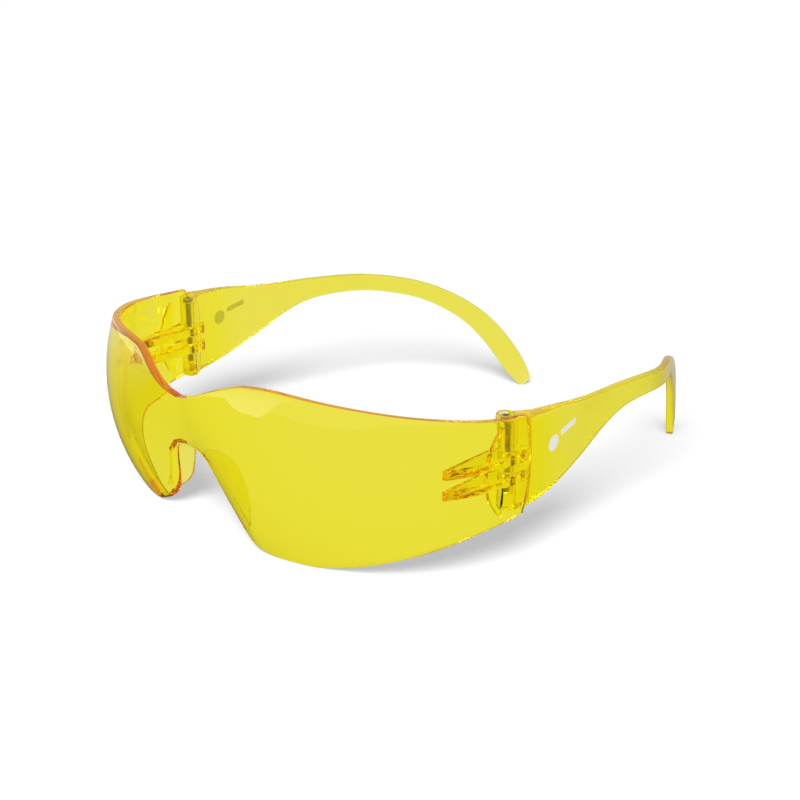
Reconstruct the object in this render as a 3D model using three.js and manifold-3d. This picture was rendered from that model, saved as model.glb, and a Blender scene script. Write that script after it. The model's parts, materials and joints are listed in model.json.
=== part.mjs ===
// Wraparound safety glasses: a one-piece lens, two temples and their hinge screws.
//
// The glasses stand on a table as they do when they are put down open: on the lower
// edge of the lens and on the tips of the temples. +Z is up, -Y is the front, and +X is
// the wearer's left. All lengths are millimetres.

import * as THREE from "three";
import { mergeVertices } from "three/addons/utils/BufferGeometryUtils.js";
import Module from "manifold-3d";

const wasm = await Module();
wasm.setup();

// ---------------------------------------------------------------- driving dimensions
// Everything below is laid out with the hinge axes upright. The finished group is then
// leaned by LEAN, because the lens leans a little when the glasses rest on the table.
const LEAN = 3.7;                       // degrees between the hinge axes and the vertical
const TABLE = -0.75;                    // table height once leaned: it leaves small flats to stand on

// Lens: each half is a piece of a sphere, blended into the other across the nose bridge.
const SPHERE_RADIUS = 55;
const SPHERE_OFFSET = 15.6;             // sphere centre to the middle plane
const SPHERE_Y = 2.3;
const SPHERE_Z = 30.3;
const LENS_THICKNESS = 2.1;
const BRIDGE_SOFTNESS = 0.12;           // sine of the angle over which the halves blend
const BRIDGE_LEAN = 0.3;                // forward run of the bridge for each millimetre up
const BRIDGE_LEAN_END = 26;             // degrees round from the front where the lean is gone
const SIDE_FLATTENING = 0.7;            // share of the upright curve lost at the hinges
const END_ANGLE = 89.8;                 // degrees round from the front to the lens end
const END_BULGE = 1.2;                  // degrees that the end bows out at half height

// Lens edges: height at an angle round from the front, in degrees.
const TOP_EDGE = [[0, 41.3], [5.5, 42.5], [9, 43.8], [13.3, 45.6], [18, 47.2], [23, 48.5],
  [33, 49.2], [50, 47.6], [66, 45.2], [82, 42.4], [91, 41.6]];
const BOTTOM_EDGE = [[0, 26.6], [5, 26.2], [7.6, 24.5], [9.2, 21.8], [11.7, 16.4], [13.8, 12.2],
  [16.2, 8.5], [19.6, 5.4], [24.5, 2.9], [30, 1.7], [36, 1.5], [44, 1.9], [54, 4.2], [66, 8.4],
  [79, 12.8], [91, 15]];

// Hinge: a vertical pin through two lugs of the lens and the knuckles of the temple.
const PIN_X = 64.7;
const GAP = 0.35;                       // running clearance
const BARREL_RADIUS = 2.5;              // knuckles, ahead of the pin
const SLOT_RADIUS = 5.3;
const LUG_REACH = 4.6;                  // pin axis to the rear end of a lug
const LUG_INSET = 3;                    // pin axis to the inner side of a lug
const LUG_HEIGHT = 2.6;
const LUG_BASES = [23.5, 29];
const PRONG_TIP_Y = -20.5;

// Boss: a flat segment inside the lens that the closed hinge faces.
const BOSS_REAR_Y = -4.6;
const BOSS_WIDTH = 5;
const BOSS_HEIGHT = 24;
const BOSS_RISE = 1.2;

// Screw
const SHAFT_RADIUS = 0.75;
const SHAFT_BOTTOM = 20.4;
const HEAD_RADIUS = 1.5;
const HEAD_HEIGHT = 0.9;
const HEAD_SINK = 0.6;                  // head top below the top of the knuckle

// Temple: a plate that follows a path in plan, with the hinge block at its front end.
const TEMPLE_START_Y = 0;
const TEMPLE_OUTER_X = 70.2;
const TEMPLE_ANGLE = 5;                 // degrees inwards, from the hinge to the ear
const HOOK_ANGLE = 31;                  // degrees inwards, behind the ear
const RIGHT_FOLD = 3;                   // degrees that the right temple is swung in at rest
const HOOK_START = 60;
const HOOK_BEND = 16;
const TEMPLE_LENGTH = 127;
const TIP_ROUNDING = 5;
const PLATE_THICKNESS = 2.4;
const BLOCK_THICKNESS = 8;
const BLOCK_TAPER = 24;

// Height of the middle line, and half width across it, at a distance along the temple.
const TEMPLE_MIDDLE = [[0, 28.5], [8, 28.6], [16, 29.4], [26, 30.7], [36, 32.5], [46, 33.6], [58, 33.2],
  [70, 32.1], [80, 30.6], [90, 27.9], [100, 23], [108, 17.3], [116, 8.6], [127, -8]];
const TEMPLE_HALF_WIDTH = [[0, 12.6], [8, 12], [16, 10.8], [26, 8.2], [36, 5.4], [46, 3.7],
  [58, 3], [70, 2.8], [90, 2.9], [105, 3.3], [117, 3.8], [127, 3.8]];

// Nose pads: leaves that leave the inner face along the edge of the nose gap.
// Each knot of the root line is a share of the way down, an angle from the front, and a
// height. The depth, and the run towards the nose for each millimetre of it, go by that
// share as well.
const PAD_LINE = [[0, 5.8, 27], [0.25, 9.6, 23], [0.5, 12.2, 17.5], [0.75, 15.4, 12], [1, 20, 8]];
const PAD_DEPTH = [[0, 1.6], [0.1, 3.8], [0.25, 5.6], [0.4, 5.8], [0.57, 5.2], [0.75, 4.4],
  [0.86, 3.4], [1, 2]];
const PAD_LEAN = [[0, 0.1], [0.38, 0.15], [0.57, 0.21], [0.75, 0.36], [0.86, 0.6], [1, 0.9]];
const PAD_THICKNESS = 1.7;

const YELLOW = 0xe6d80c;
const STEEL = 0xb8b8b4;

// ---------------------------------------------------------------------------- helpers
const radians = THREE.MathUtils.degToRad;
const lerp = THREE.MathUtils.lerp;

// Smooth curve through [position, value] knots, straight beyond its ends.
function curveThrough(knots) {
  const last = knots.length - 1;
  const slope = (i) => {
    const a = knots[Math.max(i - 1, 0)];
    const b = knots[Math.min(i + 1, last)];
    return (b[1] - a[1]) / (b[0] - a[0]);
  };
  return (position) => {
    const clamped = THREE.MathUtils.clamp(position, knots[0][0], knots[last][0]);
    let i = 0;
    while (i < last - 1 && clamped > knots[i + 1][0]) i += 1;
    const span = knots[i + 1][0] - knots[i][0];
    const t = (clamped - knots[i][0]) / span;
    const start = knots[i][1] * (1 + 2 * t) * (1 - t) ** 2 + slope(i) * span * t * (1 - t) ** 2;
    const end = knots[i + 1][1] * t * t * (3 - 2 * t) - slope(i + 1) * span * t * t * (1 - t);
    return start + end;
  };
}

const topEdge = curveThrough(TOP_EDGE);
const bottomEdge = curveThrough(BOTTOM_EDGE);
const templeMiddle = curveThrough(TEMPLE_MIDDLE);
const templeHalfWidth = curveThrough(TEMPLE_HALF_WIDTH);
const padAngle = curveThrough(PAD_LINE.map(([p, angle]) => [p, angle]));
const padHeight = curveThrough(PAD_LINE.map(([p, , height]) => [p, height]));
const padDepth = curveThrough(PAD_DEPTH);
const padLean = curveThrough(PAD_LEAN);

// Closed three.js geometry to a manifold solid, and back.
function solid(geometry) {
  const bare = geometry.index ? geometry.toNonIndexed() : geometry.clone();
  bare.deleteAttribute("normal");
  bare.deleteAttribute("uv");
  const merged = mergeVertices(bare, 1e-4);
  return new wasm.Manifold(new wasm.Mesh({
    numProp: 3,
    vertProperties: new Float32Array(merged.attributes.position.array),
    triVerts: new Uint32Array(merged.index.array),
  }));
}

function geometryOf(manifold) {
  const mesh = manifold.getMesh();
  const geometry = new THREE.BufferGeometry();
  geometry.setAttribute("position", new THREE.BufferAttribute(mesh.vertProperties, 3));
  geometry.setIndex(new THREE.BufferAttribute(mesh.triVerts, 1));
  geometry.computeVertexNormals();
  return geometry;
}

// A box whose corners and grid are moved by place(u, v, w), each from 0 to 1.
function bentBox(place, columns, rows) {
  const geometry = new THREE.BoxGeometry(1, 1, 1, columns, rows, 1);
  const position = geometry.attributes.position;
  for (let i = 0; i < position.count; i += 1) {
    const point = place(position.getX(i) + 0.5, position.getY(i) + 0.5, position.getZ(i) + 0.5);
    position.setXYZ(i, point.x, point.y, point.z);
  }
  return solid(geometry);
}

function box(low, high) {
  const geometry = new THREE.BoxGeometry(high[0] - low[0], high[1] - low[1], high[2] - low[2]);
  geometry.translate((low[0] + high[0]) / 2, (low[1] + high[1]) / 2, (low[2] + high[2]) / 2);
  return solid(geometry);
}

// Upright cylinder round the hinge pin.
function pinCylinder(radius, bottom, top, sides = 32) {
  const geometry = new THREE.CylinderGeometry(radius, radius, top - bottom, sides);
  geometry.rotateX(Math.PI / 2);
  geometry.translate(PIN_X, 0, (bottom + top) / 2);
  return solid(geometry);
}

// ------------------------------------------------------------------------------- lens
// Point on the lens at an angle round from the front, a height, and a depth below the
// outer face. Negative angles are the wearer's right half.
function lensPoint(angle, height, depth) {
  const turn = radians(angle);
  const flattening = SIDE_FLATTENING * THREE.MathUtils.smoothstep(Math.abs(angle), 45, 88);
  const outer = SPHERE_RADIUS - depth;
  const sag = outer - Math.sqrt(outer ** 2 - (height - SPHERE_Z) ** 2);
  const radius = outer - sag * (1 - flattening);
  const soften = (sine) => Math.hypot(sine, BRIDGE_SOFTNESS) - BRIDGE_SOFTNESS;
  const side = soften(Math.sin(turn)) / soften(1);
  const reach = SPHERE_OFFSET * side + Math.sqrt(radius ** 2 - SPHERE_OFFSET ** 2 * (1 - side ** 2));
  const lean = BRIDGE_LEAN * (1 - THREE.MathUtils.smoothstep(Math.abs(angle), 2, BRIDGE_LEAN_END));
  const forward = reach * Math.cos(turn) + lean * (height - SPHERE_Z);
  return new THREE.Vector3(reach * Math.sin(turn), SPHERE_Y - forward, height);
}

// A shell that follows the lens between two depths. It reaches past every edge by grow.
function lensShell(shallow, deep, grow, columns, rows) {
  return bentBox((u, v, w) => {
    const share = 2 * u - 1;
    const spread = Math.sign(share) * (0.35 * Math.abs(share) + 0.65 * share ** 2);
    const bow = END_ANGLE + END_BULGE * (1 - (2 * v - 1) ** 2) + grow;
    const angle = spread * bow;
    const low = bottomEdge(Math.abs(angle)) - grow;
    const high = topEdge(Math.abs(angle)) + grow;
    return lensPoint(angle, lerp(low, high, v), lerp(deep, shallow, w));
  }, columns, rows);
}

// One lug with the prong that runs forward from it along the inner face.
function prong(base) {
  const middle = SPHERE_RADIUS - LENS_THICKNESS / 2;
  const angleAt = (y) => Math.asin((y - SPHERE_Y) / middle);
  const tip = angleAt(PRONG_TIP_Y);
  const shape = new THREE.Shape();
  shape.moveTo(SPHERE_OFFSET + middle * Math.cos(tip) - 2, PRONG_TIP_Y);
  shape.lineTo(PIN_X - LUG_INSET, -5.5);
  shape.lineTo(PIN_X - LUG_INSET, LUG_REACH - 2);
  shape.quadraticCurveTo(PIN_X - LUG_INSET, LUG_REACH, PIN_X - LUG_INSET + 2, LUG_REACH);
  shape.quadraticCurveTo(PIN_X + 2.6, LUG_REACH, PIN_X + 2.8, 1);
  shape.lineTo(PIN_X + 4.3, 0);
  shape.absarc(SPHERE_OFFSET, SPHERE_Y, middle, angleAt(0), tip, true);
  const geometry = new THREE.ExtrudeGeometry(shape, {
    depth: LUG_HEIGHT, bevelEnabled: false, curveSegments: 8,
  });
  geometry.translate(0, 0, base);
  return solid(geometry);
}

function boss() {
  const radius = ((BOSS_HEIGHT / 2) ** 2 + BOSS_WIDTH ** 2) / (2 * BOSS_WIDTH);
  const disc = new THREE.CylinderGeometry(radius, radius, 20, 96);
  disc.rotateZ(Math.PI / 2);
  disc.translate(PIN_X, BOSS_REAR_Y - BOSS_WIDTH + radius, (LUG_BASES[0] + LUG_BASES[1] + LUG_HEIGHT) / 2);
  const behind = box([50, BOSS_REAR_Y, 0], [80, 60, 60]);
  return solid(disc).subtract(behind);
}

// Nose pad on the wearer's left. The leaf is deepest above its middle.
function nosePad() {
  return bentBox((u, v, w) => {
    const root = lensPoint(padAngle(u), padHeight(u), LENS_THICKNESS * 0.4);
    const rearward = (LENS_THICKNESS * 0.6 + padDepth(u)) * v;
    const across = PAD_THICKNESS * w * (1 - 0.3 * v);
    return new THREE.Vector3(root.x - rearward * padLean(u) + across, root.y + rearward, root.z);
  }, 16, 4);
}

function mirrored(manifold) {
  const geometry = geometryOf(manifold).scale(-1, 1, 1);
  const index = geometry.index.array;
  for (let i = 0; i < index.length; i += 3) {
    [index[i], index[i + 1]] = [index[i + 1], index[i]];
  }
  return solid(geometry);
}

function lens() {
  const side = LUG_BASES.reduce((joined, base) => joined.add(prong(base)), nosePad());
  const thick = lensShell(0.6, LENS_THICKNESS + BOSS_RISE, 0, 56, 6);
  const raised = side.add(thick.intersect(boss()))
    .subtract(pinCylinder(SHAFT_RADIUS + GAP, 0, 60));
  return lensShell(0, LENS_THICKNESS, 0, 60, 10).add(raised).add(mirrored(raised));
}

// ----------------------------------------------------------------------------- temple
// Plan position and heading of the outer face at a distance along the temple.
const PLAN_STEP = 0.5;
const plan = [{ x: TEMPLE_OUTER_X, y: TEMPLE_START_Y, heading: 0 }];
for (let s = PLAN_STEP; s <= TEMPLE_LENGTH + 1; s += PLAN_STEP) {
  const ease = Math.min(s / 10, 1);
  const bend = THREE.MathUtils.clamp((s - HOOK_START) / HOOK_BEND, 0, 1);
  const heading = radians(lerp(TEMPLE_ANGLE * ease, HOOK_ANGLE, bend));
  const before = plan[plan.length - 1];
  plan.push({
    x: before.x - PLAN_STEP * Math.sin(heading),
    y: before.y + PLAN_STEP * Math.cos(heading),
    heading,
  });
}

function planAt(distance) {
  const place = THREE.MathUtils.clamp(distance / PLAN_STEP, 0, plan.length - 1.001);
  const a = plan[Math.floor(place)];
  const b = plan[Math.floor(place) + 1];
  const t = place - Math.floor(place);
  return { x: lerp(a.x, b.x, t), y: lerp(a.y, b.y, t), heading: lerp(a.heading, b.heading, t) };
}

function templeBlank() {
  return bentBox((u, v, w) => {
    const along = TEMPLE_LENGTH * u;
    const slope = (templeMiddle(along + 0.5) - templeMiddle(along - 0.5)) * Math.min(along / 8, 1);
    const fromTip = (TEMPLE_LENGTH - along) / TIP_ROUNDING;
    const taper = fromTip < 1 ? Math.sqrt(Math.max(1 - (1 - fromTip) ** 2, 0.02)) : 1;
    const half = templeHalfWidth(along) * taper * (2 * v - 1);
    const lean = Math.hypot(1, slope);
    const outer = planAt(along - half * slope / lean);
    const fillet = Math.max(1 - along / BLOCK_TAPER, 0) ** 2.2;
    const depth = (1 - w) * lerp(PLATE_THICKNESS, BLOCK_THICKNESS, fillet);
    return new THREE.Vector3(
      outer.x - depth * Math.cos(outer.heading),
      outer.y - depth * Math.sin(outer.heading),
      templeMiddle(along) + half / lean,
    );
  }, 64, 8);
}

// Temple on the wearer's left: plate, knuckle barrel, lug slots, screw bore.
function temple() {
  const top = TEMPLE_MIDDLE[0][1] + TEMPLE_HALF_WIDTH[0][1];
  const bottom = TEMPLE_MIDDLE[0][1] - TEMPLE_HALF_WIDTH[0][1];
  let piece = templeBlank().add(pinCylinder(BARREL_RADIUS, bottom, top, 40));
  piece = piece.subtract(lensShell(-4, LENS_THICKNESS + GAP, GAP * 1.4, 60, 10));
  for (const base of LUG_BASES) {
    const low = base - GAP;
    const high = base + LUG_HEIGHT + GAP;
    piece = piece.subtract(pinCylinder(SLOT_RADIUS, low, high, 40));
  }
  piece = piece.subtract(pinCylinder(SHAFT_RADIUS + GAP, SHAFT_BOTTOM - GAP, top + 1));
  return piece.subtract(pinCylinder(HEAD_RADIUS + GAP, top - HEAD_SINK - HEAD_HEIGHT - GAP, top + 1));
}

function screw() {
  const top = TEMPLE_MIDDLE[0][1] + TEMPLE_HALF_WIDTH[0][1] - HEAD_SINK;
  const profile = [
    [0, SHAFT_BOTTOM],
    [SHAFT_RADIUS, SHAFT_BOTTOM],
    [SHAFT_RADIUS, top - HEAD_HEIGHT],
    [HEAD_RADIUS, top - HEAD_HEIGHT],
    [HEAD_RADIUS, top - 0.3],
    [HEAD_RADIUS - 0.3, top],
    [0, top],
  ].map(([x, y]) => new THREE.Vector2(x, y));
  const geometry = new THREE.LatheGeometry(profile, 24);
  geometry.rotateX(Math.PI / 2);
  geometry.translate(PIN_X, 0, 0);
  const recess = box([PIN_X - 0.2, -1.1, top - 0.4], [PIN_X + 0.2, 1.1, top + 1]);
  return solid(geometry).subtract(recess);
}

// --------------------------------------------------------------------------- assembly
// Takes off what would reach below the table that the leaned glasses stand on. A piece
// of a temple is given round its own pin, at pinX, before it is swung by fold.
function standing(manifold, pinX = 0, fold = 0) {
  const below = new THREE.BoxGeometry(300, 400, 20);
  below.translate(0, 0, TABLE - 10);
  below.rotateX(-radians(LEAN));
  below.translate(-pinX, 0, 0);
  below.rotateZ(-fold);
  return manifold.subtract(solid(below));
}

const clearYellow = new THREE.MeshStandardMaterial({ color: YELLOW, roughness: 0.08, metalness: 0 });
const satinYellow = new THREE.MeshStandardMaterial({ color: YELLOW, roughness: 0.3, metalness: 0 });
const screwSteel = new THREE.MeshStandardMaterial({ color: STEEL, roughness: 0.3, metalness: 1 });

function named(name, manifold, material) {
  const mesh = new THREE.Mesh(geometryOf(manifold), material);
  mesh.name = name;
  return mesh;
}

function hingedSide(name, manifolds, pinX, fold) {
  const side = new THREE.Group();
  side.position.x = pinX;
  side.rotation.z = fold;
  const [plate, pin] = manifolds.map((manifold) => manifold.translate([-pinX, 0, 0]));
  side.add(
    named(`${name}_temple`, standing(plate, pinX, fold), satinYellow),
    named(`${name}_hinge_screw`, pin, screwSteel),
  );
  return side;
}

const leftPieces = [temple(), screw()];
const glasses = new THREE.Group();
glasses.add(
  named("lens", standing(lens()), clearYellow),
  hingedSide("left", leftPieces, PIN_X, 0),
  hingedSide("right", leftPieces.map(mirrored), -PIN_X, -radians(RIGHT_FOLD)),
);
glasses.rotation.x = radians(LEAN);

const group = new THREE.Group();
group.add(glasses);
const bounds = new THREE.Box3().setFromObject(group, true);
group.position.set(0, -(bounds.min.y + bounds.max.y) / 2, -bounds.min.z);

export default group;
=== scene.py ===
"""Wraparound safety glasses in clear yellow polycarbonate.

A moulded lens with nose pads, bosses and hinge lugs, two satin temples, their steel
hinge screws and a plain printed mark on each temple. Shapes are laid out in millimetres
with the hinge pins upright, then stood on the table by one matrix.
"""

import json
import math

import bmesh
import bpy
from mathutils import Matrix, Vector


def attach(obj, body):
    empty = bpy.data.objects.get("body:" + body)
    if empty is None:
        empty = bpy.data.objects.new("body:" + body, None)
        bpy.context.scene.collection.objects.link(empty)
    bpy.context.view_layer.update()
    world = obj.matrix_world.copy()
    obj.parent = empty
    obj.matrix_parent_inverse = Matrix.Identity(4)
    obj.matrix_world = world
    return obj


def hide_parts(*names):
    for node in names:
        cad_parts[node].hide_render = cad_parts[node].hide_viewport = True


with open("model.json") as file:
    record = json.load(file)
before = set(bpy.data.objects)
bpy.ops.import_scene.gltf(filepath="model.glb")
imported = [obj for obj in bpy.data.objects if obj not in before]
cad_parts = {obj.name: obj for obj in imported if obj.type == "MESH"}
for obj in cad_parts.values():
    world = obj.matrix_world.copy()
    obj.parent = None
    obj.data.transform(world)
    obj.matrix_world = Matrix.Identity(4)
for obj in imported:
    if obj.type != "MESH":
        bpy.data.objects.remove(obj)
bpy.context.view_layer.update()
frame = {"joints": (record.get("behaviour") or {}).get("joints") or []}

MM = 0.001

# ------------------------------------------------------------------ where it all stands
HINGE_HEIGHT = 30.0            # up the pin, where the record gives each hinge its place
hinges = {joint["name"]: joint for joint in frame["joints"]}
pin_axis = Vector(hinges["left_temple_fold"]["axis"])
pin_point = Vector(hinges["left_temple_fold"]["pos_m"])
PIN_X = pin_point.x / MM
foot = pin_point - pin_axis * HINGE_HEIGHT * MM
lean = math.atan2(-pin_axis.y, pin_axis.z)
STANDING = (
    Matrix.Translation((0, foot.y, foot.z))
    @ Matrix.Rotation(lean, 4, "X")
    @ Matrix.Scale(MM, 4)
)
RIGHT_FOLD = math.radians(3)   # the right temple rests swung in by this much
RIGHT_SIDE = (
    Matrix.Translation((-PIN_X, 0, 0))
    @ Matrix.Rotation(-RIGHT_FOLD, 4, "Z")
    @ Matrix.Translation((PIN_X, 0, 0))
    @ Matrix.Scale(-1, 4, (1, 0, 0))
)

# -------------------------------------------------------------------------------- sizes
# Lens: each half is a piece of a sphere, blended into the other across the nose bridge.
SPHERE_RADIUS = 55
SPHERE_OFFSET = 15.6
SPHERE_Y = 2.3
SPHERE_Z = 30.3
LENS_THICKNESS = 2.1
BRIDGE_SOFTNESS = 0.12
BRIDGE_LEAN = 0.3              # forward run of the bridge for each millimetre up
BRIDGE_LEAN_END = 26           # degrees round from the front where that lean is gone
SIDE_FLATTENING = 0.7
END_ANGLE = 89.8
END_BULGE = 1.2
RIM_ROUNDING = 0.4
SHARP_ANGLE = math.radians(32)
ROUNDING_SEGMENTS = 3

# Lens edges: height at an angle round from the front.
TOP_EDGE = [(0, 41.3), (5.5, 42.5), (9, 43.8), (13.3, 45.6), (18, 47.2), (23, 48.5),
            (33, 49.2), (50, 47.6), (66, 45.2), (82, 42.4), (91, 41.6)]
BOTTOM_EDGE = [(0, 26.6), (5, 26.2), (7.6, 24.5), (9.2, 21.8), (11.7, 16.4), (13.8, 12.2),
               (16.2, 8.5), (19.6, 5.4), (24.5, 2.9), (30, 1.7), (36, 1.5), (44, 1.9),
               (54, 4.2), (66, 8.4), (79, 12.8), (91, 15)]

# Hinge: a pin through two lugs of the lens and the knuckles of the temple.
GAP = 0.35                     # running clearance
BARREL_RADIUS = 2.5
BARREL_ROUNDING = 0.5
SLOT_RADIUS = 5.3
LUG_REACH = 4.6                # pin axis to the rear end of a lug
LUG_INSET = 3                  # pin axis to the inner side of a lug
LUG_HEIGHT = 2.6
LUG_BASES = (23.5, 29)
LUG_CORNER = 2
LUG_ROUNDING = 0.3
PRONG_TIP_Y = -20.5
PRONG_TIP_WIDTH = 2
BOSS_REAR_Y = -4.6
BOSS_WIDTH = 5
BOSS_HEIGHT = 24
BOSS_RISE = 1.2
PIN_SIDES = 64

# Screw
SHAFT_RADIUS = 0.75
SHAFT_BOTTOM = 20.4
HEAD_RADIUS = 1.5
HEAD_HEIGHT = 0.9
HEAD_SINK = 0.6                # head top below the top of the knuckle
DRIVER_SLOT = (0.36, 4, 0.9)   # width, length and twice the depth of the slot in the head

# Temple: a plate that follows a path in plan, with the hinge block at its front end.
TEMPLE_OUTER_X = 70.2
TEMPLE_ANGLE = 5
HOOK_ANGLE = 31
HOOK_START = 60
HOOK_BEND = 16
TEMPLE_LENGTH = 127
PLATE_THICKNESS = 2.4
BLOCK_THICKNESS = 8
BLOCK_TAPER = 24
TIP_ROUNDING = 5
TEMPLE_COLUMNS = 44
TEMPLE_ROWS = 6
FIRST_COLUMN = 0.4             # the column that keeps the front end square when smoothed
# Height of the middle line, and half width across it, at a distance along the temple.
TEMPLE_MIDDLE = [(0, 28.5), (8, 28.6), (16, 29.4), (26, 30.7), (36, 32.5), (46, 33.6),
                 (58, 33.2), (70, 32.1), (80, 30.6), (90, 27.9), (100, 23), (108, 17.3),
                 (116, 8.6), (127, -8)]
TEMPLE_HALF_WIDTH = [(0, 12.6), (8, 12), (16, 10.8), (26, 8.2), (36, 5.4), (46, 3.7),
                     (58, 3), (70, 2.8), (90, 2.9), (105, 3.3), (117, 3.8), (127, 3.8)]

# Nose pads: root of the leaf on the lens, then its depth and its lean towards the nose.
PAD_ANGLE = [(0, 5.8), (0.25, 9.6), (0.5, 12.2), (0.75, 15.4), (1, 20)]
PAD_HEIGHT = [(0, 27), (0.25, 23), (0.5, 17.5), (0.75, 12), (1, 8)]
PAD_DEPTH = [(0, 1.6), (0.1, 3.8), (0.25, 5.6), (0.4, 5.8), (0.57, 5.2), (0.75, 4.4),
             (0.86, 3.4), (1, 2)]
PAD_LEAN = [(0, 0.1), (0.38, 0.15), (0.57, 0.21), (0.75, 0.36), (0.86, 0.6), (1, 0.9)]
PAD_THICKNESS = 1.7
PAD_ROUNDING = 0.35

# Printed mark: where its disc stands on the temple, and how far the ink stands off it.
MARK_ALONG = 13.5
MARK_HEIGHT = 30.5
MARK_SLANT = 0.25
MARK_RADIUS = 2.1
MARK_BAR = (6.5, 1.5)
MARK_BAR_PLACE = (6.6, 0.9)
INK_UNDERSIDE = 0.02
INK_TOP = 0.05

# ------------------------------------------------------------------------- shape helpers


def curve_through(knots):
    """A smooth curve through (position, value) knots."""
    last = len(knots) - 1

    def slope(i):
        before, after = knots[max(i - 1, 0)], knots[min(i + 1, last)]
        return (after[1] - before[1]) / (after[0] - before[0])

    def value(position):
        position = min(max(position, knots[0][0]), knots[last][0])
        i = 0
        while i < last - 1 and position > knots[i + 1][0]:
            i += 1
        span = knots[i + 1][0] - knots[i][0]
        t = (position - knots[i][0]) / span
        leaving = knots[i][1] * (1 + 2 * t) * (1 - t) ** 2 + slope(i) * span * t * (1 - t) ** 2
        arriving = knots[i + 1][1] * t * t * (3 - 2 * t) - slope(i + 1) * span * t * t * (1 - t)
        return leaving + arriving

    return value


def lerp(start, end, share):
    return start + (end - start) * share


def smoothstep(value, low, high):
    share = min(max((value - low) / (high - low), 0), 1)
    return share * share * (3 - 2 * share)


top_edge = curve_through(TOP_EDGE)
bottom_edge = curve_through(BOTTOM_EDGE)
temple_middle = curve_through(TEMPLE_MIDDLE)
temple_half_width = curve_through(TEMPLE_HALF_WIDTH)
pad_angle = curve_through(PAD_ANGLE)
pad_height = curve_through(PAD_HEIGHT)
pad_depth = curve_through(PAD_DEPTH)
pad_lean = curve_through(PAD_LEAN)


def bent_plate(columns, rows, place, rim=0.0):
    """A grid given two faces by place(u, v, w), with the rim between them rounded."""
    plate = bmesh.new()
    bmesh.ops.create_grid(plate, x_segments=columns, y_segments=rows, size=0.5)
    lifted = bmesh.ops.extrude_face_region(plate, geom=plate.faces[:], use_keep_orig=True)
    outer = {item for item in lifted["geom"] if isinstance(item, bmesh.types.BMVert)}
    rims = [
        edge for edge in plate.edges
        if len({face_side(face, outer) for face in edge.link_faces}) == 2
    ]
    for vertex in plate.verts:
        w = 1.0 if vertex in outer else 0.0
        vertex.co = place(vertex.co.x + 0.5, vertex.co.y + 0.5, w)
    bmesh.ops.recalc_face_normals(plate, faces=plate.faces[:])
    if rim:
        bmesh.ops.bevel(
            plate, geom=rims, offset=rim, offset_type="OFFSET", segments=ROUNDING_SEGMENTS,
            profile=0.5, affect="EDGES", material=-1, clamp_overlap=False,
        )
    return plate


def face_side(face, outer):
    """Tells the wall faces, which join the two skins of a plate, from the skins."""
    count = sum(vertex in outer for vertex in face.verts)
    return "wall" if 0 < count < len(face.verts) else "skin"


def as_object(name, shape):
    """A mesh object of the finished bmesh."""
    mesh = bpy.data.meshes.new(name)
    shape.to_mesh(mesh)
    shape.free()
    piece = bpy.data.objects.new(name, mesh)
    bpy.context.scene.collection.objects.link(piece)
    return piece


def baked(piece):
    """Applies the piece's modifiers to its mesh."""
    bpy.context.view_layer.update()
    depsgraph = bpy.context.evaluated_depsgraph_get()
    applied = bpy.data.meshes.new_from_object(piece.evaluated_get(depsgraph))
    piece.modifiers.clear()
    piece.data = applied
    return piece


def combined(piece, operation, *tools):
    """Joins or cuts the piece with each tool in turn, and uses the tools up."""
    for tool in tools:
        step = piece.modifiers.new(tool.name, "BOOLEAN")
        step.operation = operation
        step.solver = "EXACT"
        step.object = tool
    baked(piece)
    for tool in tools:
        bpy.data.objects.remove(tool)
    return piece


def mirrored(name, piece):
    """A copy of the piece on the other side of the middle plane."""
    shape = bmesh.new()
    shape.from_mesh(piece.data)
    bmesh.ops.scale(shape, vec=(-1, 1, 1), verts=shape.verts[:])
    bmesh.ops.reverse_faces(shape, faces=shape.faces[:])
    return as_object(name, shape)


def pin_cylinder(name, radius, bottom, top, rounding=0.0):
    """An upright cylinder round the left hinge pin."""
    shape = bmesh.new()
    bmesh.ops.create_cone(
        shape, cap_ends=True, segments=PIN_SIDES, radius1=radius, radius2=radius,
        depth=top - bottom,
    )
    if rounding:
        ends = [edge for edge in shape.edges if edge.calc_face_angle() > 1]
        bmesh.ops.bevel(
            shape, geom=ends, offset=rounding, offset_type="OFFSET", segments=ROUNDING_SEGMENTS,
            profile=0.5, affect="EDGES", material=-1,
        )
    bmesh.ops.translate(shape, vec=(PIN_X, 0, (bottom + top) / 2), verts=shape.verts[:])
    return as_object(name, shape)


# --------------------------------------------------------------------------------- lens


def lens_point(angle, height, depth):
    """Point at an angle round from the front, a height, and a depth below the outer face."""
    turn = math.radians(angle)
    flattening = SIDE_FLATTENING * smoothstep(abs(angle), 45, 88)
    outer = SPHERE_RADIUS - depth
    sag = outer - math.sqrt(outer ** 2 - (height - SPHERE_Z) ** 2)
    radius = outer - sag * (1 - flattening)
    soft_end = math.hypot(1, BRIDGE_SOFTNESS) - BRIDGE_SOFTNESS
    side = (math.hypot(math.sin(turn), BRIDGE_SOFTNESS) - BRIDGE_SOFTNESS) / soft_end
    reach = SPHERE_OFFSET * side + math.sqrt(radius ** 2 - SPHERE_OFFSET ** 2 * (1 - side ** 2))
    bridge_lean = BRIDGE_LEAN * (1 - smoothstep(abs(angle), 2, BRIDGE_LEAN_END))
    forward = reach * math.cos(turn) + bridge_lean * (height - SPHERE_Z)
    return Vector((reach * math.sin(turn), SPHERE_Y - forward, height))


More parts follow.
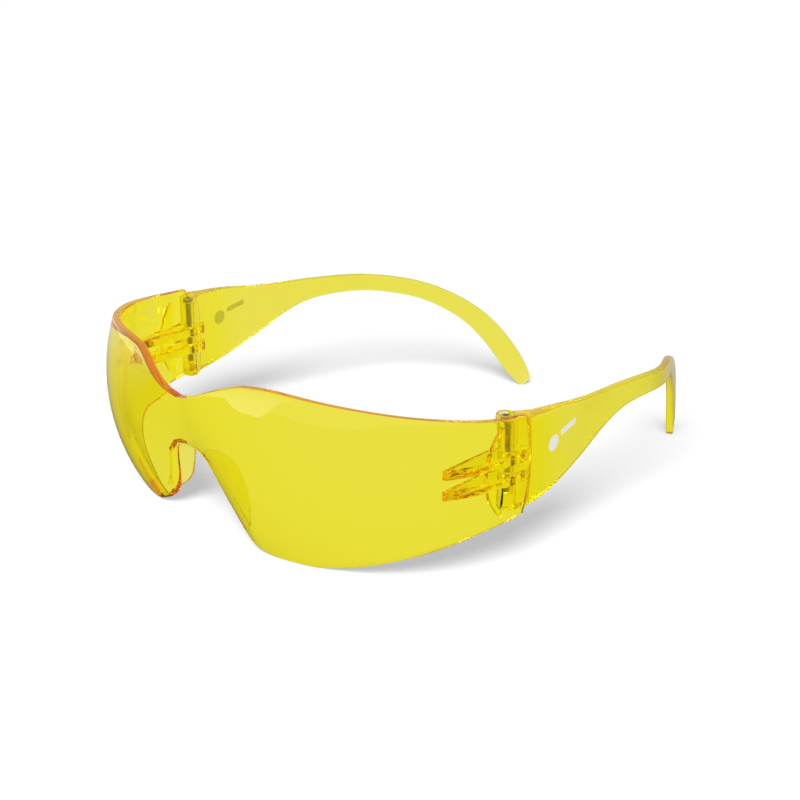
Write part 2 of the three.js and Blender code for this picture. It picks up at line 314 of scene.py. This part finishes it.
def lens_shell(shallow, deep, grow=0.0):
    """place() for a shell that follows the lens between two depths."""
    def place(u, v, w):
        share = 2 * u - 1
        spread = math.copysign(0.35 * abs(share) + 0.65 * share ** 2, share)
        bow = END_ANGLE + END_BULGE * (1 - (2 * v - 1) ** 2) + grow
        angle = spread * bow
        low = bottom_edge(abs(angle)) - grow
        high = top_edge(abs(angle)) + grow
        return lens_point(angle, lerp(low, high, v), lerp(deep, shallow, w))
    return place


def hinge_prong(name, base):
    """One hinge lug with the prong that runs forward from it along the inner face."""
    middle = SPHERE_RADIUS - LENS_THICKNESS / 2
    root_turn = math.asin(-SPHERE_Y / middle)
    tip_turn = math.asin((PRONG_TIP_Y - SPHERE_Y) / middle)
    inner_x = PIN_X - LUG_INSET
    outline = [
        (SPHERE_OFFSET + middle * math.cos(tip_turn) - PRONG_TIP_WIDTH, PRONG_TIP_Y),
        (inner_x, -5.5),
        (inner_x, LUG_REACH),
        (PIN_X + 2.6, LUG_REACH),
        (PIN_X + 2.8, 1),
        (PIN_X + 4.3, 0),
    ]
    arc_steps = 8
    for step in range(arc_steps + 1):
        turn = lerp(root_turn, tip_turn, step / arc_steps)
        outline.append((SPHERE_OFFSET + middle * math.cos(turn), SPHERE_Y + middle * math.sin(turn)))
    shape = bmesh.new()
    corners = [shape.verts.new((x, y, base)) for x, y in outline]
    shape.faces.new(corners)
    bmesh.ops.bevel(
        shape, geom=corners[2:4], offset=LUG_CORNER, offset_type="OFFSET", segments=6,
        profile=0.5, affect="VERTICES", material=-1,
    )
    raised = bmesh.ops.extrude_face_region(shape, geom=shape.faces[:], use_keep_orig=True)
    lifted = [item for item in raised["geom"] if isinstance(item, bmesh.types.BMVert)]
    bmesh.ops.translate(shape, vec=(0, 0, LUG_HEIGHT), verts=lifted)
    bmesh.ops.recalc_face_normals(shape, faces=shape.faces[:])
    flat_edges = [
        edge for edge in shape.edges
        if abs(edge.verts[0].co.z - edge.verts[1].co.z) < 0.01 and edge.calc_face_angle() > 0.5
    ]
    bmesh.ops.bevel(
        shape, geom=flat_edges, offset=LUG_ROUNDING, offset_type="OFFSET",
        segments=ROUNDING_SEGMENTS, profile=0.5, affect="EDGES", material=-1,
    )
    return as_object(name, shape)


def hinge_boss(name):
    """The flat round segment that stands up inside the lens ahead of the hinge."""
    radius = ((BOSS_HEIGHT / 2) ** 2 + BOSS_WIDTH ** 2) / (2 * BOSS_WIDTH)
    middle_z = (LUG_BASES[0] + LUG_BASES[1] + LUG_HEIGHT) / 2
    disc = bmesh.new()
    bmesh.ops.create_cone(
        disc, cap_ends=True, segments=128, radius1=radius, radius2=radius, depth=20,
    )
    bmesh.ops.rotate(disc, matrix=Matrix.Rotation(math.pi / 2, 3, "Y"), verts=disc.verts[:])
    centre = (PIN_X, BOSS_REAR_Y - BOSS_WIDTH + radius, middle_z)
    bmesh.ops.translate(disc, vec=centre, verts=disc.verts[:])
    cut = bmesh.ops.bisect_plane(
        disc, geom=disc.verts[:] + disc.edges[:] + disc.faces[:],
        plane_co=(0, BOSS_REAR_Y, 0), plane_no=(0, 1, 0), clear_outer=True,
    )
    rim = [item for item in cut["geom_cut"] if isinstance(item, bmesh.types.BMEdge)]
    bmesh.ops.holes_fill(disc, edges=rim, sides=0)
    bmesh.ops.recalc_face_normals(disc, faces=disc.faces[:])
    thick = bent_plate(168, 12, lens_shell(0.6, LENS_THICKNESS + BOSS_RISE))
    return combined(as_object(name, thick), "INTERSECT", as_object("boss_disc", disc))


def nose_pad(name):
    """The leaf that stands off the inner face along the nose gap."""
    def place(u, v, w):
        root = lens_point(pad_angle(u), pad_height(u), LENS_THICKNESS * 0.4)
        rearward = (LENS_THICKNESS * 0.6 + pad_depth(u)) * v
        across = PAD_THICKNESS * w * (1 - 0.3 * v)
        return Vector((root.x - rearward * pad_lean(u) + across, root.y + rearward, root.z))
    return as_object(name, bent_plate(24, 8, place, rim=PAD_ROUNDING))


def moulded_lens():
    """Both lens halves and the bridge, with the prongs, bosses and nose pads joined on."""
    shell = bent_plate(168, 20, lens_shell(0, LENS_THICKNESS), rim=RIM_ROUNDING)
    lens = as_object("lens_visor", shell)
    left = [hinge_prong(f"prong_{base}", base) for base in LUG_BASES]
    left += [hinge_boss("boss"), nose_pad("pad")]
    right = [mirrored(f"{piece.name}_right", piece) for piece in left]
    combined(lens, "UNION", *left, *right)
    bores = [pin_cylinder("bore", SHAFT_RADIUS + GAP, LUG_BASES[0] - 2, LUG_BASES[1] + 6)]
    bores.append(mirrored("bore_right", bores[0]))
    return combined(lens, "DIFFERENCE", *bores)


# ------------------------------------------------------------------------------- temple
PLAN_STEP = 0.5


def temple_plan():
    """Place and heading of the outer face, step by step along the temple."""
    x, y = TEMPLE_OUTER_X, 0.0
    places = [(x, y, 0.0)]
    for step in range(1, int((TEMPLE_LENGTH + 4) / PLAN_STEP)):
        along = step * PLAN_STEP
        ease = min(along / 10, 1)
        bend = min(max((along - HOOK_START) / HOOK_BEND, 0), 1)
        heading = math.radians(lerp(TEMPLE_ANGLE * ease, HOOK_ANGLE, bend))
        x -= PLAN_STEP * math.sin(heading)
        y += PLAN_STEP * math.cos(heading)
        places.append((x, y, heading))
    return places


PLAN = temple_plan()


def plan_at(distance):
    """Place and heading of the outer face at a distance along the temple."""
    place = min(max(distance / PLAN_STEP, 0), len(PLAN) - 1.001)
    before, after = PLAN[int(place)], PLAN[int(place) + 1]
    return [lerp(a, b, place - int(place)) for a, b in zip(before, after)]


def temple_point(along, across, depth):
    """Point of the temple: across is -1 at its lower edge and 1 at its upper one."""
    slope = temple_middle(along + 0.5) - temple_middle(along - 0.5)
    slope *= min(along / 8, 1)
    half = temple_half_width(along) * across
    lean_length = math.hypot(1, slope)
    x, y, heading = plan_at(along - half * slope / lean_length)
    return Vector((
        x - depth * math.cos(heading),
        y - depth * math.sin(heading),
        temple_middle(along) + half / lean_length,
    ))


def temple_cage(u, v, w):
    """place() for the cage of a temple, whose end columns and rim rows are drawn close."""
    column = u * TEMPLE_COLUMNS
    rest = TEMPLE_LENGTH - FIRST_COLUMN
    along = FIRST_COLUMN * min(column, 1) + rest * max((column - 1) / (TEMPLE_COLUMNS - 1), 0)
    from_tip = (TEMPLE_LENGTH - along) / TIP_ROUNDING
    narrowing = math.sqrt(max(1 - (1 - from_tip) ** 2, 0)) if from_tip < 1 else 1
    narrowing = max(narrowing, 0.55)
    across = 2 * v - 1
    rim = 1 - 1.0 / temple_half_width(along)
    row = abs(across) * TEMPLE_ROWS / 2
    spread = row / 2 * rim if row <= 2 else lerp(rim, 1, row - 2)
    fillet = max(1 - along / BLOCK_TAPER, 0) ** 2.2
    depth = (1 - w) * lerp(PLATE_THICKNESS, BLOCK_THICKNESS, fillet)
    return temple_point(along, math.copysign(spread, across) * narrowing, depth)


def moulded_temple(name):
    """Plate and hook, knuckle barrel, lug slots, and the bore and seat of the screw."""
    top = TEMPLE_MIDDLE[0][1] + TEMPLE_HALF_WIDTH[0][1]
    bottom = TEMPLE_MIDDLE[0][1] - TEMPLE_HALF_WIDTH[0][1]
    temple = as_object(name, bent_plate(TEMPLE_COLUMNS, TEMPLE_ROWS, temple_cage))
    smoothing = temple.modifiers.new("rounding", "SUBSURF")
    smoothing.levels = 2
    smoothing.render_levels = 2
    baked(temple)
    barrel = pin_cylinder("barrel", BARREL_RADIUS, bottom, top, rounding=BARREL_ROUNDING)
    combined(temple, "UNION", barrel)
    clearance = bent_plate(120, 12, lens_shell(-4, LENS_THICKNESS + GAP, GAP * 1.4))
    cuts = [as_object("lens_clearance", clearance)]
    for base in LUG_BASES:
        cuts.append(pin_cylinder("slot", SLOT_RADIUS, base - GAP, base + LUG_HEIGHT + GAP))
    cuts.append(pin_cylinder("bore", SHAFT_RADIUS + GAP, SHAFT_BOTTOM - GAP, top + 1))
    seat = top - HEAD_SINK - HEAD_HEIGHT - GAP
    cuts.append(pin_cylinder("seat", HEAD_RADIUS + GAP, seat, top + 1))
    return combined(temple, "DIFFERENCE", *cuts)


def hinge_screw(name):
    """A turned screw: shaft, domed cheese head and a cut slot."""
    top = TEMPLE_MIDDLE[0][1] + TEMPLE_HALF_WIDTH[0][1] - HEAD_SINK
    profile = [
        (0, SHAFT_BOTTOM),
        (SHAFT_RADIUS - 0.2, SHAFT_BOTTOM),
        (SHAFT_RADIUS, SHAFT_BOTTOM + 0.2),
        (SHAFT_RADIUS, top - HEAD_HEIGHT),
        (HEAD_RADIUS, top - HEAD_HEIGHT),
        (HEAD_RADIUS, top - 0.3),
        (HEAD_RADIUS - 0.12, top - 0.1),
        (HEAD_RADIUS - 0.4, top - 0.02),
        (0, top),
    ]
    shape = bmesh.new()
    points = [shape.verts.new((x, 0, z)) for x, z in profile]
    for start, end in zip(points, points[1:]):
        shape.edges.new((start, end))
    bmesh.ops.spin(
        shape, geom=shape.verts[:] + shape.edges[:], cent=(0, 0, 0), axis=(0, 0, 1),
        dvec=(0, 0, 0), angle=2 * math.pi, steps=48, use_merge=True,
    )
    bmesh.ops.remove_doubles(shape, verts=shape.verts[:], dist=0.001)
    bmesh.ops.recalc_face_normals(shape, faces=shape.faces[:])
    bmesh.ops.translate(shape, vec=(PIN_X, 0, 0), verts=shape.verts[:])
    slot = bmesh.new()
    bmesh.ops.create_cube(slot, size=1)
    bmesh.ops.scale(slot, vec=DRIVER_SLOT, verts=slot.verts[:])
    bmesh.ops.translate(slot, vec=(PIN_X, 0, top), verts=slot.verts[:])
    return combined(as_object(name, shape), "DIFFERENCE", as_object("slot", slot))


def printed_mark(name):
    """A plain disc and bar, a skin of ink on the outer face of the temple."""
    ink = bmesh.new()
    bmesh.ops.create_circle(ink, cap_ends=True, segments=48, radius=MARK_RADIUS)
    bar = bmesh.ops.create_grid(ink, x_segments=12, y_segments=1, size=0.5)["verts"]
    bmesh.ops.scale(ink, vec=(*MARK_BAR, 1), verts=bar)
    bmesh.ops.translate(ink, vec=(*MARK_BAR_PLACE, 0), verts=bar)
    skin = bmesh.ops.extrude_face_region(ink, geom=ink.faces[:], use_keep_orig=True)
    lifted = {item for item in skin["geom"] if isinstance(item, bmesh.types.BMVert)}
    for vertex in ink.verts:
        along = MARK_ALONG + vertex.co.x
        height = MARK_HEIGHT + vertex.co.y + MARK_SLANT * vertex.co.x
        across = (height - temple_middle(along)) / temple_half_width(along)
        depth = -INK_TOP if vertex in lifted else -INK_UNDERSIDE
        vertex.co = temple_point(along, across, depth)
    bmesh.ops.recalc_face_normals(ink, faces=ink.faces[:])
    return as_object(name, ink)


def stand(piece, side=None, table=True):
    """Moves the piece's mesh to its place, cuts off what is below the table, and shades it."""
    shape = bmesh.new()
    shape.from_mesh(piece.data)
    matrix = STANDING @ side if side else STANDING
    bmesh.ops.transform(shape, matrix=matrix, verts=shape.verts[:])
    if matrix.determinant() < 0:
        bmesh.ops.reverse_faces(shape, faces=shape.faces[:])
    if table:
        cut = bmesh.ops.bisect_plane(
            shape, geom=shape.verts[:] + shape.edges[:] + shape.faces[:],
            plane_co=(0, 0, 0), plane_no=(0, 0, 1), clear_inner=True, dist=1e-7,
        )
        rim = [item for item in cut["geom_cut"] if isinstance(item, bmesh.types.BMEdge)]
        bmesh.ops.holes_fill(shape, edges=rim, sides=0)
    shape.to_mesh(piece.data)
    shape.free()
    for face in piece.data.polygons:
        face.use_smooth = True
    piece.data.set_sharp_from_angle(angle=SHARP_ANGLE)
    return piece


def other_side(name, piece):
    """A second copy of a left-hand piece, for stand() to turn into its right-hand twin."""
    twin = bpy.data.objects.new(name, piece.data.copy())
    bpy.context.scene.collection.objects.link(twin)
    return twin


# ---------------------------------------------------------------------------- materials


def surface_grain():
    """Fine moulding grain and soft handling marks: a roughness and a height that vary."""
    group = bpy.data.node_groups.new("surface_grain", "ShaderNodeTree")
    for socket, kind, value in (
        ("Grain Scale", "NodeSocketFloat", 4000.0),
        ("Smooth", "NodeSocketFloat", 0.02),
        ("Rough", "NodeSocketFloat", 0.06),
    ):
        made = group.interface.new_socket(socket, in_out="INPUT", socket_type=kind)
        made.default_value = value
    group.interface.new_socket("Roughness", in_out="OUTPUT", socket_type="NodeSocketFloat")
    group.interface.new_socket("Height", in_out="OUTPUT", socket_type="NodeSocketFloat")
    add, join = group.nodes.new, group.links.new
    given = add("NodeGroupInput")
    out = add("NodeGroupOutput")
    place = add("ShaderNodeTexCoord")
    marks = add("ShaderNodeTexNoise")
    marks.inputs["Scale"].default_value = 90
    marks.inputs["Detail"].default_value = 5
    marks.inputs["Roughness"].default_value = 0.6
    grain = add("ShaderNodeTexNoise")
    grain.inputs["Detail"].default_value = 2
    spread = add("ShaderNodeMapRange")
    spread.inputs["From Min"].default_value = 0.35
    spread.inputs["From Max"].default_value = 0.7
    join(place.outputs["Object"], marks.inputs["Vector"])
    join(place.outputs["Object"], grain.inputs["Vector"])
    join(given.outputs["Grain Scale"], grain.inputs["Scale"])
    join(marks.outputs["Fac"], spread.inputs["Value"])
    join(given.outputs["Smooth"], spread.inputs["To Min"])
    join(given.outputs["Rough"], spread.inputs["To Max"])
    join(spread.outputs["Result"], out.inputs["Roughness"])
    join(grain.outputs["Fac"], out.inputs["Height"])
    return group


grain_group = surface_grain()


def grained(material, scale, smooth, rough, height):
    """Gives a material's Principled shader the surface grain."""
    nodes, join = material.node_tree.nodes, material.node_tree.links.new
    shader = nodes["Principled BSDF"]
    grain = nodes.new("ShaderNodeGroup")
    grain.node_tree = grain_group
    grain.inputs["Grain Scale"].default_value = scale
    grain.inputs["Smooth"].default_value = smooth
    grain.inputs["Rough"].default_value = rough
    bump = nodes.new("ShaderNodeBump")
    bump.inputs["Strength"].default_value = height
    bump.inputs["Distance"].default_value = 0.00002
    join(grain.outputs["Roughness"], shader.inputs["Roughness"])
    join(grain.outputs["Height"], bump.inputs["Height"])
    join(bump.outputs["Normal"], shader.inputs["Normal"])


def polycarbonate(name, tint, dye, strength, scale, smooth, rough, height):
    """See-through plastic that is dyed all the way through."""
    material = bpy.data.materials.new(name)
    material.use_nodes = True
    nodes, join = material.node_tree.nodes, material.node_tree.links.new
    shader = nodes["Principled BSDF"]
    shader.inputs["Base Color"].default_value = (*tint, 1)
    shader.inputs["IOR"].default_value = 1.585
    shader.inputs["Transmission Weight"].default_value = 1
    absorption = nodes.new("ShaderNodeVolumeAbsorption")
    absorption.inputs["Color"].default_value = (*dye, 1)
    absorption.inputs["Density"].default_value = strength
    join(absorption.outputs["Volume"], nodes["Material Output"].inputs["Volume"])
    grained(material, scale, smooth, rough, height)
    return material


def turned_steel():
    """Plain steel, finely turned."""
    material = bpy.data.materials.new("turned_steel")
    material.use_nodes = True
    shader = material.node_tree.nodes["Principled BSDF"]
    shader.inputs["Base Color"].default_value = (0.34, 0.33, 0.31, 1)
    shader.inputs["Metallic"].default_value = 1
    grained(material, 9000, 0.2, 0.4, 0.6)
    return material


def white_ink():
    """Matt pad-printing ink."""
    material = bpy.data.materials.new("white_ink")
    material.use_nodes = True
    shader = material.node_tree.nodes["Principled BSDF"]
    shader.inputs["Base Color"].default_value = (0.86, 0.86, 0.8, 1)
    grained(material, 6000, 0.4, 0.6, 0.5)
    return material


TINT = (1, 0.98, 0.9)          # of what goes through a surface
DYE = (1, 0.99, 0.05)          # of what goes through the plastic
clear_yellow = polycarbonate(
    "clear_yellow", TINT, DYE, strength=1300, scale=1500, smooth=0.0, rough=0.03, height=0.02,
)
satin_yellow = polycarbonate(
    "satin_yellow", TINT, DYE, strength=900, scale=5200, smooth=0.1, rough=0.22, height=0.6,
)
steel = turned_steel()
ink = white_ink()

# ----------------------------------------------------------------------------- assembly


def finished(piece, material, body, node=None):
    """Gives a piece its material, its body and the node that it replaces."""
    piece.data.materials.clear()
    piece.data.materials.append(material)
    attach(piece, body)
    if node:
        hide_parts(node)
    piece.visible_diffuse = False


lens = stand(moulded_lens())
finished(lens, clear_yellow, "front", "lens")

left_temple = moulded_temple("left_temple_arm")
right_temple = other_side("right_temple_arm", left_temple)
left_screw = hinge_screw("left_screw")
right_screw = other_side("right_screw", left_screw)
left_mark = printed_mark("left_printed_mark")
right_mark = other_side("right_printed_mark", left_mark)
for side, matrix, temple, screw, mark in (
    ("left", None, left_temple, left_screw, left_mark),
    ("right", RIGHT_SIDE, right_temple, right_screw, right_mark),
):
    body = f"{side}_arm"
    finished(stand(temple, matrix), satin_yellow, body, f"{side}_temple")
    finished(stand(screw, matrix, False), steel, body, f"{side}_hinge_screw")
    finished(stand(mark, matrix, False), ink, body)

# -------------------------------------------------------------------- floor and lighting
ROOM_LIGHT = 0.52              # how brightly the white room lights the floor
ROOM_SEEN = 1.02
ROOM_MIRRORED = 0.4
GLOW_THROUGH = 0.86            # brightness of the room and floor behind the plastic
CARD_GLOW = 1.6
FLOOR_RADIUS = 12
FLOOR_DROP = 0.0001            # keeps the floor clear of the flats that stand on it
FLOOR_WHITE = 0.99
FLOOR_BOUNCE = 0.8
FLOOR_MIRRORED = (0.06, 0.6)   # in front of the glasses, and behind them
GLOW_COLOUR = (1, 0.957, 0.94, 1)
CARD_FOOT = (0.07, -0.5, 0)
CARD_TURN = math.radians(-110)
CARD_RISE = 0.3
CARD_HEIGHT = 0.4
KEY_PLACE = (0.55, -0.85, 0.85)
KEY_STRENGTH = 2.45
KEY_SPREAD = math.radians(24)


def by_ray(tree, lit, seen, through, reflected):
    """A value for lighting, and others where it is seen, seen through plastic or mirrored."""
    nodes, join = tree.nodes, tree.links.new
    path = nodes.new("ShaderNodeLightPath")
    value = nodes.new("ShaderNodeValue")
    value.outputs["Value"].default_value = lit
    result = value.outputs["Value"]
    for ray, amount in (
        ("Is Camera Ray", seen),
        ("Is Reflection Ray", reflected),
        ("Is Diffuse Ray", lit),
        ("Is Transmission Ray", through),
    ):
        choice = nodes.new("ShaderNodeMix")
        if isinstance(amount, bpy.types.NodeSocket):
            join(amount, choice.inputs["B"])
        else:
            choice.inputs["B"].default_value = amount
        join(path.outputs[ray], choice.inputs["Factor"])
        join(result, choice.inputs["A"])
        result = choice.outputs["Result"]
    return result


def brighter_behind(tree, near, far):
    """A value that rises from near to far over the floor behind the wearer's right side."""
    nodes, join = tree.nodes, tree.links.new
    place = nodes.new("ShaderNodeTexCoord")
    parts = nodes.new("ShaderNodeSeparateXYZ")
    behind = nodes.new("ShaderNodeMath")
    behind.operation = "SUBTRACT"
    rise = nodes.new("ShaderNodeMapRange")
    rise.inputs["From Min"].default_value = -0.02
    rise.inputs["From Max"].default_value = 0.2
    rise.inputs["To Min"].default_value = near
    rise.inputs["To Max"].default_value = far
    join(place.outputs["Object"], parts.inputs["Vector"])
    join(parts.outputs["Y"], behind.inputs[0])
    join(parts.outputs["X"], behind.inputs[1])
    join(behind.outputs["Value"], rise.inputs["Value"])
    return rise.outputs["Result"]


def studio_floor():
    """A pale floor that glows evenly behind the plastic."""
    shape = bmesh.new()
    bmesh.ops.create_circle(shape, cap_ends=True, segments=96, radius=FLOOR_RADIUS)
    bmesh.ops.translate(shape, vec=(0, 0, -FLOOR_DROP), verts=shape.verts[:])
    floor = as_object("studio_floor", shape)
    material = bpy.data.materials.new("pale_floor")
    material.use_nodes = True
    tree = material.node_tree
    shader = tree.nodes["Principled BSDF"]
    shader.inputs["Roughness"].default_value = 0.9
    shader.inputs["Specular IOR Level"].default_value = 0
    mirrored_glow = brighter_behind(tree, *FLOOR_MIRRORED)
    shade = by_ray(tree, FLOOR_BOUNCE, FLOOR_WHITE, FLOOR_BOUNCE, mirrored_glow)
    tree.links.new(shade, shader.inputs["Base Color"])
    even = tree.nodes.new("ShaderNodeEmission")
    even.inputs["Color"].default_value = GLOW_COLOUR
    even.inputs["Strength"].default_value = GLOW_THROUGH
    choice = tree.nodes.new("ShaderNodeMixShader")
    path = tree.nodes.new("ShaderNodeLightPath")
    tree.links.new(path.outputs["Is Transmission Ray"], choice.inputs["Fac"])
    tree.links.new(shader.outputs["BSDF"], choice.inputs[1])
    tree.links.new(even.outputs["Emission"], choice.inputs[2])
    tree.links.new(choice.outputs["Shader"], tree.nodes["Material Output"].inputs["Surface"])
    floor.data.materials.append(material)


def studio_world():
    """A white room all round."""
    world = bpy.data.worlds.new("white_room")
    world.use_nodes = True
    tree = world.node_tree
    background = tree.nodes["Background"]
    background.inputs["Color"].default_value = (1, 1, 1, 1)
    strength = by_ray(tree, ROOM_LIGHT, ROOM_SEEN, GLOW_THROUGH, ROOM_MIRRORED)
    tree.links.new(strength, background.inputs["Strength"])
    bpy.context.scene.world = world


def reflection_card():
    """A tall white card round the front and left, which only shows in the gloss."""
    shape = bmesh.new()
    foot = shape.verts.new(CARD_FOOT)
    bmesh.ops.spin(
        shape, geom=[foot], cent=(0, 0, 0), axis=(0, 0, 1), dvec=(0, 0, 0),
        angle=CARD_TURN, steps=44,
    )
    for vertex in shape.verts:
        vertex.co.z = CARD_RISE * smoothstep(vertex.co.x, -0.16, 0.13)
    raised = bmesh.ops.extrude_edge_only(shape, edges=shape.edges[:])
    lifted = [item for item in raised["geom"] if isinstance(item, bmesh.types.BMVert)]
    bmesh.ops.translate(shape, vec=(0, 0, CARD_HEIGHT), verts=lifted)
    card = as_object("reflection_card", shape)
    material = bpy.data.materials.new("white_card")
    material.use_nodes = True
    shader = material.node_tree.nodes["Principled BSDF"]
    shader.inputs["Base Color"].default_value = (0, 0, 0, 1)
    shader.inputs["Emission Strength"].default_value = CARD_GLOW
    tree = material.node_tree
    place = tree.nodes.new("ShaderNodeTexCoord")
    height = tree.nodes.new("ShaderNodeSeparateXYZ")
    fade = tree.nodes.new("ShaderNodeMapRange")
    fade.inputs["From Min"].default_value = 0
    fade.inputs["From Max"].default_value = 0.25
    fade.inputs["To Min"].default_value = 1
    fade.inputs["To Max"].default_value = 0.35
    tree.links.new(place.outputs["Object"], height.inputs["Vector"])
    tree.links.new(height.outputs["Z"], fade.inputs["Value"])
    tree.links.new(fade.outputs["Result"], shader.inputs["Emission Color"])
    card.data.materials.append(material)
    card.visible_camera = False
    card.visible_diffuse = False
    card.visible_transmission = False
    card.visible_shadow = False


def soft_key(place, strength, spread):
    """A broad soft light that falls evenly over the floor."""
    light = bpy.data.lights.new("soft_key", "SUN")
    light.energy = strength
    light.angle = spread
    lamp = bpy.data.objects.new("soft_key", light)
    bpy.context.scene.collection.objects.link(lamp)
    lamp.location = place
    lamp.rotation_euler = (-Vector(place)).to_track_quat("-Z", "Y").to_euler()
    lamp.visible_glossy = False


studio_floor()
studio_world()
reflection_card()
soft_key(KEY_PLACE, KEY_STRENGTH, KEY_SPREAD)

# The camera stands in front of the wearer's left side and looks a little down.
CAMERA_PLACE = (288.69, -258.21, 181.54)
CAMERA_RIGHT = (0.70164, 0.71074, 0.05078)
CAMERA_FORWARD = (-0.65975, 0.67492, -0.33046)
camera_data = bpy.data.cameras.new("camera")
camera_data.lens = 67.14
camera_data.sensor_width = 36
camera_data.clip_start = 0.01
camera = bpy.data.objects.new("camera", camera_data)
bpy.context.scene.collection.objects.link(camera)
right = Vector(CAMERA_RIGHT).normalized()
forward = Vector(CAMERA_FORWARD).normalized()
up = right.cross(forward).normalized()
right = forward.cross(up)
eye = STANDING @ Vector(CAMERA_PLACE)
camera.matrix_world = Matrix((
    (right.x, up.x, -forward.x, eye.x),
    (right.y, up.y, -forward.y, eye.y),
    (right.z, up.z, -forward.z, eye.z),
    (0, 0, 0, 1),
))
bpy.context.scene.camera = camera
bpy.context.scene.view_settings.view_transform = "Standard"
bpy.context.scene.cycles.max_bounces = 48
bpy.context.scene.cycles.transmission_bounces = 48
bpy.context.scene.cycles.glossy_bounces = 32
